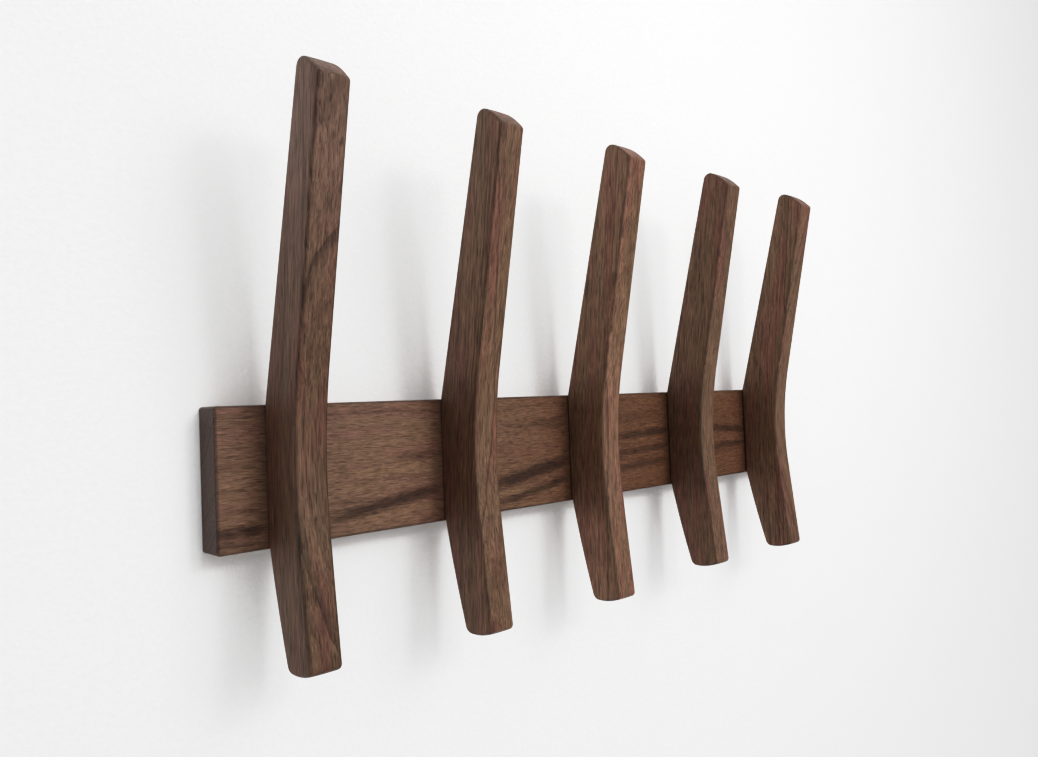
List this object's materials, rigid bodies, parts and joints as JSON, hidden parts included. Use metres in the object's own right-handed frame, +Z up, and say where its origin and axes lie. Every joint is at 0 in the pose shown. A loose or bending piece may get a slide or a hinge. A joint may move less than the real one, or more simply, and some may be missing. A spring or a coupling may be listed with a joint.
{
  "type": "coat rack",
  "caption": "Wall-mounted wooden coat rack: a horizontal rail carrying a row of bent, double-ended pegs, hung from keyhole plates let into its back.",
  "frame": {"origin": "centre of the rail's back face, where it lies against the wall", "axes": "+X along the rail, to the right for someone facing the rack; +Z up; +Y into the wall, so the pegs stand out along -Y"},
  "size_m": [0.578, 0.094, 0.3399],
  "materials": {
    "walnut_rail": "solid walnut with its grain along the rail, satin oil",
    "walnut_peg": "solid walnut with its grain along the peg, satin oil",
    "screw_steel": "yellow zinc plated steel",
    "plate_steel": "bright zinc plated steel"
  },
  "bodies": {
    "root": {"rail": "walnut_rail", "peg_1": "walnut_peg", "peg_1_upper_screw": "screw_steel", "peg_1_lower_screw": "screw_steel", "peg_2": "walnut_peg", "peg_2_upper_screw": "screw_steel", "peg_2_lower_screw": "screw_steel", "peg_3": "walnut_peg", "peg_3_upper_screw": "screw_steel", "peg_3_lower_screw": "screw_steel", "peg_4": "walnut_peg", "peg_4_upper_screw": "screw_steel", "peg_4_lower_screw": "screw_steel", "peg_5": "walnut_peg", "peg_5_upper_screw": "screw_steel", "peg_5_lower_screw": "screw_steel", "left_hanger_plate": "plate_steel", "left_hanger_upper_screw": "screw_steel", "left_hanger_lower_screw": "screw_steel", "right_hanger_plate": "plate_steel", "right_hanger_upper_screw": "screw_steel", "right_hanger_lower_screw": "screw_steel"}
  },
  "joints": []
}
